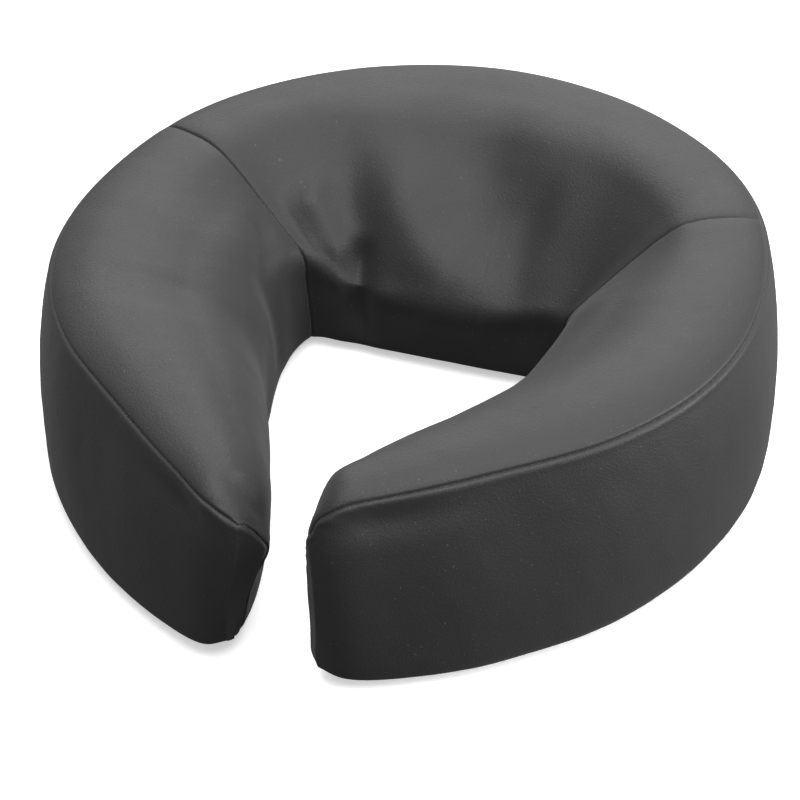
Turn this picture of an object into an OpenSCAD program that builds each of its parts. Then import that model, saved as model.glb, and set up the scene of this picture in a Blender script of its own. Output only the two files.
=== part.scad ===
// Face cradle cushion: a horseshoe of two foam layers in a sewn leather cover, with loop strips
// and a zip underneath. +Z is up, +Y is the crown, and the arms end at the gap in front (-Y).
// The origin is the centre of the footprint on the plane that the cushion rests on.

/* [Cushion] */
// Width over the widest part of the arms
cushion_w = 306; // [280:1:340]
// Length from the back of the crown to the tips of the arms
cushion_l = 321; // [290:1:350]
// Height of the rim seam above the resting plane
rim_h = 86; // [76:1:100]
// How far the top swells above the rim seam
top_swell = 3; // [0:0.5:6]
// How far the rim seam drops at the tips of the arms
tip_rim_drop = 16; // [0:1:20]
// How far the outer band bulges between its two seams
band_bulge = 3.5; // [0:0.5:4]
// Height of the upright inner wall of the crown, below the forehead slope
crown_wall_h = 36; // [34:1:44]

/* [Cover] */
// Thickness of the leather
leather_t = 1.2; // [0.8:0.1:1.6]
// Clearance between the cover and the foam
cover_gap = 0.8; // [0.6:0.1:1]
// Radius of the sewing thread
thread_r = 0.35; // [0.25:0.05:0.4]

/* [Foam] */
// Height at which the soft foam lies on the firm foam
foam_split_h = 32; // [24:1:33]

/* [Loop strips] */
// Thickness of a loop strip, which the cushion rests on
strip_t = 3; // [3:0.1:3.6]
// Width of a loop strip
strip_w = 25; // [20:1:30]
// Length of the loop strip under the crown
crown_strip_l = 140; // [100:5:150]
// Length of the loop strip under each arm
arm_strip_l = 110; // [80:5:115]
// Angle of the arm strips from straight ahead
arm_strip_angle = 24; // [20:1:28]

/* [Zip] */
// Distance of the zip behind the centre of the footprint
zip_y = 69; // [66:1:72]
// Length of the opening that the zip closes
zip_l = 160; // [120:5:170]
// Width of the slot between the two base panels
zip_slot_w = 8; // [8:0.5:9]
// Length of the slider
slider_l = 9; // [8:0.5:10]
// Length of the pull tab
pull_l = 16; // [12:1:20]

/* [Hidden] */

// Plan outlines of the right half, from the crown (first) to the tip (last). Each row is one
// station: the rim seam, the outer edge of the base, the inner wall at roll_h, and the inner
// edge of the base. The left half is their mirror image.
STATIONS = [
    [[0, 154], [0, 161], [0, 43], [0, 39]],
    [[58, 142], [61, 149], [24, 43], [24, 39]],
    [[105, 111], [109, 117], [45, 43], [44, 39]],
    [[134, 69], [138, 73], [61, 38], [57, 38]],
    [[147, 5], [152, 1], [66, 9], [61, 12]],
    [[139, -44], [145, -45], [59, -28], [54, -26]],
    [[114, -85], [122, -93], [42, -59], [44, -58]],
    [[74, -119], [81, -134], [25, -91], [30, -93]],
    [[40, -143], [48, -153], [14, -117], [21, -121]],
    [[24, -152], [30, -160], [10, -136], [18, -141]],
    [[14, -153], [21, -158], [8, -148], [17, -154]]
];
LAST = len(STATIONS) - 1;
RIM = 0;
FOOT = 1;
ROLL = 2;
HOLE = 3;
design_w = 306;
design_l = 321;
roll_h = 66;
tip_station_l = 10;
tip_drop = 9;

// The station where the cross seams run from the rim to the hole
cross_station = 3;
cross_half_gap = 0.025;

// Half sections from the rim seam to the foot of the inner wall: the share of the way from the
// outer side to the inner side, the share of the upright part above the wall, and the swell
CROWN_TOP = [
    [0.08, 1, 0.6], [0.2, 1, 0.9], [0.32, 1, 0.8], [0.42, 0.98, 0.3], [0.52, 0.87, 0],
    [0.63, 0.69, 0], [0.74, 0.48, 0], [0.84, 0.28, 0], [0.92, 0.13, 0], [0.98, 0.03, 0]
];
ARM_TOP = [
    [0.08, 1, 0.5], [0.2, 1, 1], [0.34, 1, 1], [0.48, 0.99, 0.8], [0.6, 0.95, 0.4],
    [0.71, 0.88, 0], [0.81, 0.78, 0], [0.89, 0.65, 0], [0.95, 0.48, 0], [0.99, 0.24, 0]
];

base_z = strip_t;
cover_z = base_z + leather_t + 0.3;
foam_inset = leather_t + cover_gap;
seam_inset = 0.9;
band_top_gap = leather_t + 0.3;
foam_floor_z = cover_z + 0.3;
eps = 0.01;

// Rows of facets down the band and down the inner wall
band_rows = 6;
wall_rows = 3;

leather_colour = [0.14, 0.14, 0.15];
thread_colour = [0.05, 0.05, 0.06];
foam_base_colour = [0.75, 0.76, 0.78];
foam_top_colour = [0.92, 0.86, 0.66];
loop_colour = [0.10, 0.10, 0.11];
zip_colour = [0.08, 0.08, 0.09];
metal_colour = [0.70, 0.70, 0.72];

// ---- Curves ----

function mix(a, b, t) = a + (b - a) * t;
function smooth(t) = let(c = min(max(t, 0), 1)) c * c * (3 - 2 * c);
function scaled(p) = [p.x * cushion_w / design_w, p.y * cushion_l / design_l];

// Control point k of one outline, mirrored before the first and carried straight on past the last
function control(outline, k) =
    k < 0 ? let(p = control(outline, -k)) [-p.x, p.y]
    : k > LAST ? 2 * control(outline, LAST) - control(outline, LAST - 1)
    : scaled(STATIONS[k][outline]);

// Centripetal Catmull-Rom curve from b to c
function knot(a, b) = sqrt(norm(b - a));
function curve_piece(a, b, c, d, u) =
    let(t1 = knot(a, b), t2 = t1 + knot(b, c), t3 = t2 + knot(c, d), t = mix(t1, t2, u))
    let(ab = mix(a, b, t / t1), bc = mix(b, c, (t - t1) / (t2 - t1)),
        cd = mix(c, d, (t - t2) / (t3 - t2)))
    let(abc = mix(ab, bc, t / t2), bcd = mix(bc, cd, (t - t1) / (t3 - t1)))
    mix(abc, bcd, (t - t1) / (t2 - t1));

function outline_at(outline, s) =
    let(k = min(floor(s), LAST - 1))
    curve_piece(control(outline, k - 1), control(outline, k), control(outline, k + 1),
        control(outline, k + 2), s - k);

function outward(outline, s) =
    let(step = 0.02, v = outline_at(outline, s + step) - outline_at(outline, s - step))
    [-v.y, v.x] / norm(v);

// Outer and inner wall in plan at height z, set in by inset
function outer_wall(s, z, inset) =
    let(h = z / rim_h)
    mix(outline_at(FOOT, s), outline_at(RIM, s), h)
        + outward(RIM, s) * (4 * band_bulge * h * (1 - h) - inset);
function inner_wall(s, z, inset) =
    mix(outline_at(HOLE, s), outline_at(ROLL, s), z / roll_h) + outward(HOLE, s) * inset;

// Point at station s (negative on the left), share f from the outer to the inner wall, height z
function place(s, f, z, inset) =
    let(a = abs(s), p = mix(outer_wall(a, z, inset), inner_wall(a, z, inset), f))
    [s < 0 ? -p.x : p.x, p.y, z];

// ---- Section of the top ----

// The rim stays level up to the corner of each tip, then runs down across it
tip_corner = 8.6;
tip_drop_curve = 1.3;
function rim_z(s) = rim_h
    - tip_rim_drop * pow(max(0, (abs(s) - tip_corner) / (LAST - tip_corner)), tip_drop_curve);

function arm_share(s) = smooth((abs(s) - 2.6) / 1.6);
function wall_h(s) = mix(crown_wall_h, 46, arm_share(s));

// Point j of the top section at station s
function top_point(s, j, inset) =
    let(w = arm_share(s), row = mix(CROWN_TOP[j], ARM_TOP[j], w), low = wall_h(s),
        z = low + (rim_z(s) - low) * row.y + top_swell * row.z)
    place(s, row.x, z - inset, inset);

// Top section from the rim to the foot of the inner wall, down to floor_z
function top_section(s, inset, edge_inset, floor_z) =
    let(low = wall_h(s) - inset)
    concat(
        [place(s, 0, rim_z(s) - inset, edge_inset)],
        [for (j = [0:len(CROWN_TOP) - 1]) top_point(s, j, inset)],
        [for (j = [0:wall_rows]) place(s, 1, mix(low, floor_z, j / wall_rows), inset)]
    );

// Evenly spaced stations from a to b
function stations(a, b, count) = [for (i = [0:count]) mix(a, b, i / count)];
function last_station(inset) = LAST - inset / tip_station_l;

// ---- Solids from grids of points ----

function flat(rows) = [for (row = rows) for (p = row) p];
function quad(a, b, c, d) = [[a, b, c], [a, c, d]];

// Sheet between two grids of the same size
module sheet(over, under) {
    rows = len(over);
    cols = len(over[0]);
    count = rows * cols;
    skins = [for (i = [0:rows - 2]) for (j = [0:cols - 2]) let(a = i * cols + j) concat(
        quad(a, a + 1, a + cols + 1, a + cols),
        quad(count + a, count + a + cols, count + a + cols + 1, count + a + 1))];
    sides = [for (i = [0:rows - 2]) let(a = i * cols, b = a + cols - 1) concat(
        quad(a, a + cols, count + a + cols, count + a),
        quad(b, count + b, count + b + cols, b + cols))];
    ends = [for (j = [0:cols - 2]) let(a = j, b = (rows - 1) * cols + j) concat(
        quad(a, count + a, count + a + 1, a + 1),
        quad(b, b + 1, count + b + 1, count + b))];
    polyhedron(concat(flat(over), flat(under)), flat(concat(skins, sides, ends)));
}

function sum(ring, k, i = 0) = i < len(ring) ? ring[i][k] + sum(ring, k, i + 1) : 0;

// Solid through closed rings, closed at both ends by fans
module loft(rings) {
    rows = len(rings);
    cols = len(rings[0]);
    first = rows * cols;
    skins = [for (i = [0:rows - 2]) for (j = [0:cols - 1]) let(a = i * cols, b = (j + 1) % cols)
        quad(a + j, a + b, a + cols + b, a + cols + j)];
    caps = [for (j = [0:cols - 1]) let(b = (j + 1) % cols, a = (rows - 1) * cols)
        [[first, b, j], [first + 1, a + j, a + b]]];
    centres = [[for (k = [0:2]) sum(rings[0], k) / cols],
        [for (k = [0:2]) sum(rings[rows - 1], k) / cols]];
    polyhedron(concat(flat(rings), centres), flat(concat(skins, caps)));
}

// Ring of six points round each point of a path; hint is a direction across the path
module thread(path, hint, radius) {
    last = len(path) - 1;
    loft([for (i = [0:last])
        let(ahead = path[min(i + 1, last)] - path[max(i - 1, 0)],
            across = cross(ahead, hint), side = across / norm(across),
            up = cross(side, ahead) / norm(ahead))
        [for (a = [0:60:300]) path[i] + radius * (cos(a) * side + sin(a) * up)]]);
}

// ---- Cover ----

// Upright profile of the band at one place: points at rising heights
function band_column(s, inset) =
    let(top = rim_z(s) - band_top_gap)
    [for (i = [0:band_rows]) place(s, 0, mix(cover_z, top, i / band_rows), inset)];
// The band closes each tip across the share f, and drops there with the roll of the arm
function tip_column(side, f, inset) =
    let(s = side * last_station(inset), top = rim_z(s) - band_top_gap - tip_drop * f * f)
    [for (i = [0:band_rows]) place(s, f, mix(cover_z, top, i / band_rows), inset)];
function band_grid(inset) = concat(
    [for (f = [1, 0.5]) tip_column(-1, f, inset)],
    [for (s = stations(-last_station(inset), last_station(inset), 72)) band_column(s, inset)],
    [for (f = [0.5, 1]) tip_column(1, f, inset)]);

module outer_band() {
    color(leather_colour) sheet(band_grid(0), band_grid(leather_t));
}

module top_panel(first, last, count) {
    rows = stations(first, last, count);
    color(leather_colour) sheet(
        [for (s = rows) top_section(s, 0, seam_inset, cover_z)],
        [for (s = rows) top_section(s, leather_t, seam_inset + leather_t, cover_z)]);
}

module crown_panel() {
    top_panel(-cross_station + cross_half_gap, cross_station - cross_half_gap, 26);
}

module right_arm_panel() {
    top_panel(cross_station + cross_half_gap, last_station(foam_inset), 24);
}

module left_arm_panel() mirror([1, 0, 0]) right_arm_panel();

// Plan of the cushion at height z as one closed outline
module footprint(z, inset) {
    rows = stations(-last_station(inset), last_station(inset), 60);
    polygon(concat(
        [for (s = rows) let(p = place(s, 0, z, inset)) [p.x, p.y]],
        [for (i = [len(rows) - 1:-1:0]) let(p = place(rows[i], 1, z, inset)) [p.x, p.y]]));
}

module base_part(rear) {
    reach = cushion_w;
    color(leather_colour) translate([0, 0, base_z]) linear_extrude(leather_t)
        difference() {
            footprint(base_z, seam_inset + 0.3);
            translate([-reach, rear ? zip_y - reach * 2 : zip_y]) square(reach * 2);
            translate([-reach, zip_y - thread_r * 1.2]) square([reach * 2, thread_r * 2.4]);
            translate([-zip_l / 2, zip_y - zip_slot_w / 2]) square([zip_l, zip_slot_w]);
        }
}

module base_front_panel() base_part(false);

module base_rear_panel() base_part(true);

// ---- Foam ----

// Ring of one foam section: up the outer side, over the top if there is one, down the inner side
function side_points(s, f, low, high, count) =
    [for (i = [0:count]) place(s, f, mix(low, high, i / count), foam_inset)];
function foam_base_ring(s) = concat(
    side_points(s, 0, foam_floor_z, foam_split_h, 2),
    side_points(s, 1, foam_split_h, foam_floor_z, 2));
function foam_top_ring(s) = concat(
    side_points(s, 0, foam_split_h, rim_z(s) - foam_inset, 3),
    [for (j = [0:len(CROWN_TOP) - 1]) top_point(s, j, foam_inset)],
    [place(s, 1, wall_h(s) - foam_inset, foam_inset), place(s, 1, foam_split_h, foam_inset)]);
foam_end = last_station(foam_inset + cover_gap);

module foam_base() {
    color(foam_base_colour) difference() {
        loft([for (s = stations(-foam_end, foam_end, 60)) foam_base_ring(s)]);
        // Room for the zip tapes, and a deeper groove for the slider
        translate([-tape_l / 2 - 2, zip_y - tape_w - 1, 0])
            cube([tape_l + 4, tape_w * 2 + 2, tape_z + tape_t + 0.3]);
        translate([-tape_l / 2 - 2, zip_y - slider_w / 2 - 0.5, 0])
            cube([tape_l + 4, slider_w + 1, slider_top_z + 0.5]);
    }
}

module foam_top() {
    color(foam_top_colour) loft([for (s = stations(-foam_end, foam_end, 60)) foam_top_ring(s)]);
}

// ---- Loop strips ----

crown_strip_y = 117;
arm_strip_x = 92;
arm_strip_y = -45;
stitch_margin = 3;
stitch_line_w = 0.8;
stitch_groove_h = 1;

// Ring of stitching round a strip of length l, grown by extra on both sides of its line
module stitch_ring(l, height, extra) {
    linear_extrude(height) difference() {
        square([l - 2 * stitch_margin + 2 * extra, strip_w - 2 * stitch_margin + 2 * extra],
            center = true);
        square([l - 2 * stitch_margin - 2 * stitch_line_w - 2 * extra,
            strip_w - 2 * stitch_margin - 2 * stitch_line_w - 2 * extra], center = true);
    }
}

module loop_strip(l) {
    color(loop_colour) difference() {
        translate([-l / 2, -strip_w / 2, 0]) cube([l, strip_w, strip_t]);
        translate([0, 0, -eps]) stitch_ring(l, stitch_groove_h + eps, 0.1);
    }
}

module at_crown_strip() translate([0, crown_strip_y, 0]) children();
module at_arm_strip() translate([arm_strip_x, arm_strip_y, 0])
    rotate([0, 0, 90 - arm_strip_angle]) children();

module crown_loop_strip() at_crown_strip() loop_strip(crown_strip_l);

module right_loop_strip() at_arm_strip() loop_strip(arm_strip_l);

module left_loop_strip() mirror([1, 0, 0]) right_loop_strip();

module strip_stitch(l) {
    color(thread_colour) translate([0, 0, stitch_groove_h / 2])
        stitch_ring(l, stitch_groove_h / 2, 0);
}

module strip_stitching() {
    at_crown_strip() strip_stitch(crown_strip_l);
    for (side = [0, 1]) mirror([side, 0, 0]) at_arm_strip() strip_stitch(arm_strip_l);
}

// ---- Seams ----

module rim_seam_thread() {
    end = last_station(seam_inset);
    color(thread_colour) thread(
        [for (s = stations(-end, end, 90)) place(s, 0, rim_z(s) - seam_inset, seam_inset / 2)],
        [0, 0, 1], thread_r);
}

module right_cross_seam_thread() {
    section = top_section(cross_station, leather_t / 2, seam_inset * 2, cover_z + seam_inset);
    ends = section[len(section) - 1] - section[0];
    color(thread_colour) thread(section, [ends.y, -ends.x, 0], thread_r);
}

module left_cross_seam_thread() mirror([1, 0, 0]) right_cross_seam_thread();

module base_seam_thread() {
    end = last_station(seam_inset);
    z = base_z + leather_t / 2;
    rows = stations(-end, end, 64);
    color(thread_colour) for (f = [0, 1])
        thread([for (s = rows) place(s, f, z, seam_inset / 2 - 0.05)], [0, 0, 1], thread_r);
}

// The join of the base panels beyond both ends of the zip
module base_join_thread() {
    outer_x = cushion_w / 2 - 18;
    color(thread_colour) for (side = [-1, 1])
        translate([side * (zip_l / 2 + 2), zip_y, base_z + leather_t / 2]) rotate([0, side * 90, 0])
            cylinder(r = thread_r, h = outer_x - zip_l / 2 - 4, $fn = 16);
}

// ---- Zip ----

tape_t = 0.6;
tape_w = 12;
tape_l = zip_l + 10;
tape_z = base_z + leather_t;
tape_edge = 0.8;
coil_r = 0.85;
coil_y = 1.5;
coil_z = tape_z - coil_r - 0.05;
stop_l = 2.5;
slider_w = 6.6;
slider_plate_t = 0.9;
slider_z = coil_z - coil_r - 0.3 - slider_plate_t;
slider_top_z = tape_z + tape_t + 0.35 + slider_plate_t;
slider_x = zip_l / 2 - stop_l - 1 - slider_l / 2;
coil_l = zip_l - 2 * stop_l - 2;
post_w = 0.6;
pin_r = 0.4;
pin_clearance = 0.1;
eye_r = 0.8;
pin_x = slider_x - slider_l / 2 - 1.6;
pin_z = slider_z;
lug_w = 1;

module zip_tape(side) {
    color(zip_colour) translate([-tape_l / 2, zip_y + (side > 0 ? tape_edge : -tape_w), tape_z])
        cube([tape_l, tape_w - tape_edge, tape_t]);
}

module zip_tape_front() zip_tape(-1);

module zip_tape_rear() zip_tape(1);

module zip_coil(side) {
    color(zip_colour) translate([-coil_l / 2, zip_y + side * coil_y, coil_z]) rotate([0, 90, 0])
        cylinder(r = coil_r, h = coil_l, $fn = 24);
}

module zip_coil_front() zip_coil(-1);

module zip_coil_rear() zip_coil(1);

module zip_stitching() {
    line_w = 0.6;
    line_y = 7;
    color(thread_colour) for (side = [-1, 1])
        translate([-zip_l / 2, zip_y + side * line_y - line_w / 2, tape_z + tape_t])
            cube([zip_l, line_w, 0.25]);
}

// Small metal clamp at the end of the coils, under the tape
module stop_block(y, width) {
    low = slider_z + slider_plate_t - 0.2;
    translate([-stop_l / 2, y - width / 2, low]) cube([stop_l, width, tape_z - 0.05 - low]);
}

stop_x = (zip_l - stop_l) / 2 - 0.5;

module zip_top_stops() {
    color(metal_colour) for (side = [-1, 1])
        translate([stop_x, zip_y, 0]) stop_block(side * coil_y, 2);
}

module zip_end_stop() {
    color(metal_colour) translate([-stop_x, zip_y, 0]) stop_block(0, 5);
}

module zip_slider() {
    flange_t = 0.6;
    post_l = 3;
    lug_l = slider_x - slider_l / 2 - pin_x + 1.2;
    lug_low = pin_z - pin_r - 0.2;
    color(metal_colour) translate([slider_x, zip_y, 0]) {
        // Outer plate, inner plate and the post between the two coils
        translate([-slider_l / 2, -slider_w / 2, slider_z])
            cube([slider_l, slider_w, slider_plate_t]);
        translate([-slider_l / 2, -slider_w / 2 + 0.3, slider_top_z - slider_plate_t])
            cube([slider_l, slider_w - 0.6, slider_plate_t]);
        translate([slider_l / 2 - post_l, -post_w / 2, slider_z])
            cube([post_l, post_w, slider_top_z - slider_z]);
        for (side = [-1, 1]) {
            // Flanges beside the coils
            translate([-slider_l / 2, side * (slider_w - flange_t) / 2 - flange_t / 2, slider_z])
                cube([slider_l, flange_t, coil_z + coil_r - 0.2 - slider_z]);
            // Lugs that hold the pin of the pull tab
            translate([pin_x - slider_x - 0.7, side * (slider_w - lug_w) / 2 - lug_w / 2, lug_low])
                cube([lug_l, lug_w, slider_z + slider_plate_t - lug_low]);
        }
        translate([pin_x - slider_x, slider_w / 2, pin_z]) rotate([90, 0, 0])
            cylinder(r = pin_r, h = slider_w, $fn = 24);
    }
}

// Pull tab, lying flat along the zip, with an eye round the slider's pin
module zip_pull() {
    tab_w = slider_w - 2 * lug_w - 0.4;
    tab_t = 0.8;
    hole_r = 1.2;
    color(metal_colour) translate([pin_x, zip_y, pin_z]) difference() {
        union() {
            translate([-pull_l + tab_w / 2, -tab_w / 2, -tab_t / 2])
                cube([pull_l - tab_w / 2, tab_w, tab_t]);
            translate([-pull_l + tab_w / 2, 0, -tab_t / 2]) cylinder(d = tab_w, h = tab_t, $fn = 32);
            rotate([90, 0, 0]) cylinder(r = eye_r, h = tab_w, center = true, $fn = 32);
        }
        rotate([90, 0, 0])
            cylinder(r = pin_r + pin_clearance, h = tab_w + 1, center = true, $fn = 32);
        translate([-pull_l + tab_w / 2, 0, -tab_t])
            cylinder(r = hole_r, h = tab_t * 2, $fn = 32);
    }
}

outer_band();
crown_panel();
left_arm_panel();
right_arm_panel();
base_front_panel();
base_rear_panel();
foam_base();
foam_top();
crown_loop_strip();
left_loop_strip();
right_loop_strip();
strip_stitching();
rim_seam_thread();
left_cross_seam_thread();
right_cross_seam_thread();
base_seam_thread();
base_join_thread();
zip_tape_front();
zip_tape_rear();
zip_coil_front();
zip_coil_rear();
zip_stitching();
zip_top_stops();
zip_end_stop();
zip_slider();
zip_pull();
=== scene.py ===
"""Looks of the face cradle cushion: sewn leather panels over foam, with loop strips and a zip
underneath. Lengths are in millimetres until a mesh is made, and metres in Blender."""

import math

import bmesh
import bpy
import numpy as np
from mathutils import Matrix, Vector
from mathutils.kdtree import KDTree


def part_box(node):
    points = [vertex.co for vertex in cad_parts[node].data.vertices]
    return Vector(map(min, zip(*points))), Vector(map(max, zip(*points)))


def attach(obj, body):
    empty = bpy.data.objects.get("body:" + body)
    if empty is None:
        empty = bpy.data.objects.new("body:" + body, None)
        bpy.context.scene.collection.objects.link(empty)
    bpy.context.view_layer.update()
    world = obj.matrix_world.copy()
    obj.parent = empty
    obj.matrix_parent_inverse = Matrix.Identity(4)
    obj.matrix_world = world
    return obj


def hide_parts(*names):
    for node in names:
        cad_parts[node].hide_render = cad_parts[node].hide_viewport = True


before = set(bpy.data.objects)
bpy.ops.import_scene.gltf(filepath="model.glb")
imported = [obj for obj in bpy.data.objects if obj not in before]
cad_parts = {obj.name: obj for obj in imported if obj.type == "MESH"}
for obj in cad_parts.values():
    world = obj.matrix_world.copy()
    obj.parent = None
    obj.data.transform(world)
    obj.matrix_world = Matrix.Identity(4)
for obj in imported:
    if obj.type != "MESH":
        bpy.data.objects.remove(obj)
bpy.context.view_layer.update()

MM = 0.001
RNG = np.random.default_rng(11)

# ------------------------------
# Plan outlines of the right half, from the crown to the tip: the rim seam, the outer edge of
# the base, the inner wall at ROLL_H, and the inner edge of the base.
RIM, FOOT, ROLL, HOLE = range(4)
STATIONS = np.array([
    [[0, 154], [0, 161], [0, 43], [0, 39]],
    [[58, 142], [61, 149], [24, 43], [24, 39]],
    [[105, 111], [109, 117], [45, 43], [44, 39]],
    [[134, 69], [138, 73], [61, 38], [57, 38]],
    [[147, 5], [152, 1], [66, 9], [61, 12]],
    [[139, -44], [145, -45], [59, -28], [54, -26]],
    [[114, -85], [122, -93], [42, -59], [44, -58]],
    [[74, -119], [81, -134], [25, -91], [30, -93]],
    [[40, -143], [48, -153], [14, -117], [21, -121]],
    [[24, -152], [30, -160], [10, -136], [18, -141]],
    [[14, -153], [21, -158], [8, -148], [17, -154]],
], float)
LAST = len(STATIONS) - 1
CROSS = 3.0
ROLL_H = 66.0

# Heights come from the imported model.
rim_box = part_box("rim_seam_thread")
RIM_H = rim_box[1].z / MM + 0.5
COVER_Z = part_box("base_front_panel")[0].z / MM
TOP_SWELL = 3.0
BAND_BULGE = 3.5
LEFT_DROP = ([6.4, 7.2, 8.3, 9.0, 9.7, 10.0], [0, 2.5, 7.0, 9.5, 13.0, 15.0])
RIGHT_DROP = ([8.5, 8.8, 9.6, 10.0], [0, 0.8, 6.0, 14.0])
TIP_WALL_UP = 10.0
CROWN_WALL_H = 36.0
ARM_WALL_H = 46.0
FOOT_ROUND = 6.0
LEFT_CORNER_UP = 13.0
RIGHT_CORNER_UP = 6.0

# Half sections from the rim to the foot of the inner wall: the share of the way across, the
# share of the upright part above the wall, and the share of the swell.
CROWN_TOP = np.array([
    [0.08, 1, 0.6], [0.2, 1, 0.9], [0.32, 1, 0.8], [0.42, 0.98, 0.3], [0.52, 0.87, 0],
    [0.63, 0.69, 0], [0.74, 0.48, 0], [0.84, 0.28, 0], [0.92, 0.13, 0], [0.98, 0.03, 0]])
ARM_TOP = np.array([
    [0.08, 1, 0.5], [0.2, 1, 1], [0.34, 1, 1], [0.48, 0.99, 0.8], [0.6, 0.95, 0.4],
    [0.71, 0.88, 0], [0.81, 0.78, 0], [0.89, 0.65, 0], [0.95, 0.48, 0], [0.99, 0.24, 0]])

# How the made cushion strays from the drawing: the top leans to one side and one arm stands
# higher than the other, by these millimetres at the rim.
LEAN_X = -0.5
TILT_Z = 3.0


def smooth(t):
    c = np.clip(t, 0, 1)
    return c * c * (3 - 2 * c)


def mix(a, b, t):
    return a + (b - a) * t


def fade(distance, reach):
    """1 at no distance, falling to 0."""
    return np.exp(-distance / reach)


def bell(x, centre, width):
    return np.exp(-((x - centre) / width) ** 2)


def run_of(points):
    """Distance along a polyline to each of its points."""
    return np.concatenate([[0], np.cumsum(np.linalg.norm(np.diff(points, axis=0), axis=1))])


# Control points of each outline from the left tip to the right tip, carried on past both ends.
def full_outline(kind):
    right = STATIONS[:, kind]
    left = right[:0:-1] * [-1, 1]
    points = np.vstack([left, right])
    before = 2 * points[0] - points[1]
    after = 2 * points[-1] - points[-2]
    return np.vstack([before, points, after])


OUTLINES = [full_outline(kind) for kind in range(4)]


def outline(kind, s):
    """Centripetal Catmull-Rom point of an outline at signed station s, an array."""
    points = OUTLINES[kind]
    s = np.asarray(s, float)
    k = np.clip(np.floor(s).astype(int), -LAST, LAST - 1)
    u = (s - k)[..., None]
    a, b, c, d = (points[k + LAST + i] for i in range(4))
    t1 = np.sqrt(np.linalg.norm(b - a, axis=-1))[..., None]
    t2 = t1 + np.sqrt(np.linalg.norm(c - b, axis=-1))[..., None]
    t3 = t2 + np.sqrt(np.linalg.norm(d - c, axis=-1))[..., None]
    t = mix(t1, t2, u)
    ab = mix(a, b, t / t1)
    bc = mix(b, c, (t - t1) / (t2 - t1))
    cd = mix(c, d, (t - t2) / (t3 - t2))
    abc = mix(ab, bc, t / t2)
    bcd = mix(bc, cd, (t - t1) / (t3 - t1))
    return mix(abc, bcd, (t - t1) / (t2 - t1))


def outward(kind, s):
    """Unit normal of an outline, away from the centre of the cushion."""
    step = 0.02
    v = outline(kind, s + step) - outline(kind, s - step)
    n = np.stack([-v[..., 1], v[..., 0]], -1)
    return n / np.linalg.norm(n, axis=-1, keepdims=True)


def rim_z(s):
    """Height of the rim, which runs down towards both tips, sooner on the left."""
    drop = np.zeros_like(s, float)
    for shift in (-0.15, 0.0, 0.15):
        left = np.interp(-s + shift, *LEFT_DROP)
        right = np.interp(s + shift, *RIGHT_DROP)
        drop += np.where(s < 0, left, right) / 3
    return RIM_H - drop


def tip_share(s):
    """How far a section is from an arm's rounded top towards the tip's straight fall."""
    return smooth((np.abs(s) - 8.3) / 1.7)


def arm_share(s):
    return smooth((np.abs(s) - 2.6) / 1.6)


def wall_h(s):
    """Height of the inner wall, with the corners of the crown drawn up a little."""
    corners = LEFT_CORNER_UP * bell(s, -2.9, 0.8) + RIGHT_CORNER_UP * bell(s, 2.4, 0.9)
    return mix(CROWN_WALL_H, ARM_WALL_H, arm_share(s)) + corners + TIP_WALL_UP * tip_share(s)


def foot_inset(z):
    """How far a wall turns in under itself near its foot."""
    low = np.clip((FOOT_ROUND - (z - COVER_Z)) / FOOT_ROUND, 0, 1)
    return FOOT_ROUND * (1 - np.sqrt(1 - low * low))


def place(s, f, z):
    """Points at signed station s, share f from the outer to the inner wall and height z."""
    s, f, z = np.broadcast_arrays(np.asarray(s, float), np.asarray(f, float), np.asarray(z, float))
    h = (z / RIM_H)[..., None]
    inset = foot_inset(z)[..., None]
    outer = mix(outline(FOOT, s), outline(RIM, s), h)
    outer = outer + outward(RIM, s) * (4 * BAND_BULGE * h * (1 - h) - inset)
    inner = mix(outline(HOLE, s), outline(ROLL, s), (z / ROLL_H)[..., None])
    inner = inner + outward(HOLE, s) * inset
    xy = mix(outer, inner, f[..., None])
    return np.concatenate([xy, z[..., None]], -1)


# Local pushes of the made cushion: where, which way, and how far round they are felt.
PUSHES = [
    ((-7, -150, 58), (5.0, -0.5, 0.0), 18),
    ((-26, -160, 4), (1.0, 0.5, 1.0), 26),
    ((-14, -156, 4), (-2.0, 2.0, 3.0), 15),
    ((-16, -129, 18), (-2.5, 0.0, 0.0), 23),
    ((20, -158, 6), (-3.0, 0.5, 1.5), 18),
    ((-62, -14, 40), (2.0, 0.0, 0.5), 22),
    ((-30, -98, 50), (-2.5, 0.0, 0.0), 24),
]


def settle(p):
    """The small lean and tilt of the made cushion, which grow with height, and its local pushes."""
    h = p[..., 2] / RIM_H
    shift = np.zeros_like(p)
    shift[..., 0] = LEAN_X * h
    shift[..., 2] = TILT_Z * h * np.clip(p[..., 0] / 150, -1, 1)
    for centre, push, reach in PUSHES:
        away = np.linalg.norm(p - np.array(centre, float), axis=-1)
        shift += bell(away, 0, reach)[..., None] * np.array(push, float)
    return p + shift


# ------------------------------
# Grids of the cover: close rows and columns next to the seams and even ones elsewhere.
NEAR = [0.35, 0.7, 1.1, 1.6, 2.2, 3.0, 4.0, 5.4, 7.2, 9.4]


def spaced(length, count, fine):
    """Distances from 0 to length: an even count of them and, if fine, closer ones by both ends."""
    if not fine:
        return np.linspace(0, length, count)
    near = np.array([0.0] + NEAR[:-1])
    middle = np.linspace(NEAR[-1], length - NEAR[-1], count)
    return np.concatenate([near, middle, length - near[::-1]])


def rim_stations(s0, s1, step, fine):
    """Stations between s0 and s1, spaced along the rim."""
    even = np.linspace(s0, s1, 400)
    run = run_of(outline(RIM, even))
    middle = run[-1] - (2 * NEAR[-1] if fine else 0)
    count = max(2, int(round(middle / step)) + 1)
    return np.interp(spaced(run[-1], count, fine), run, even)


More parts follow.
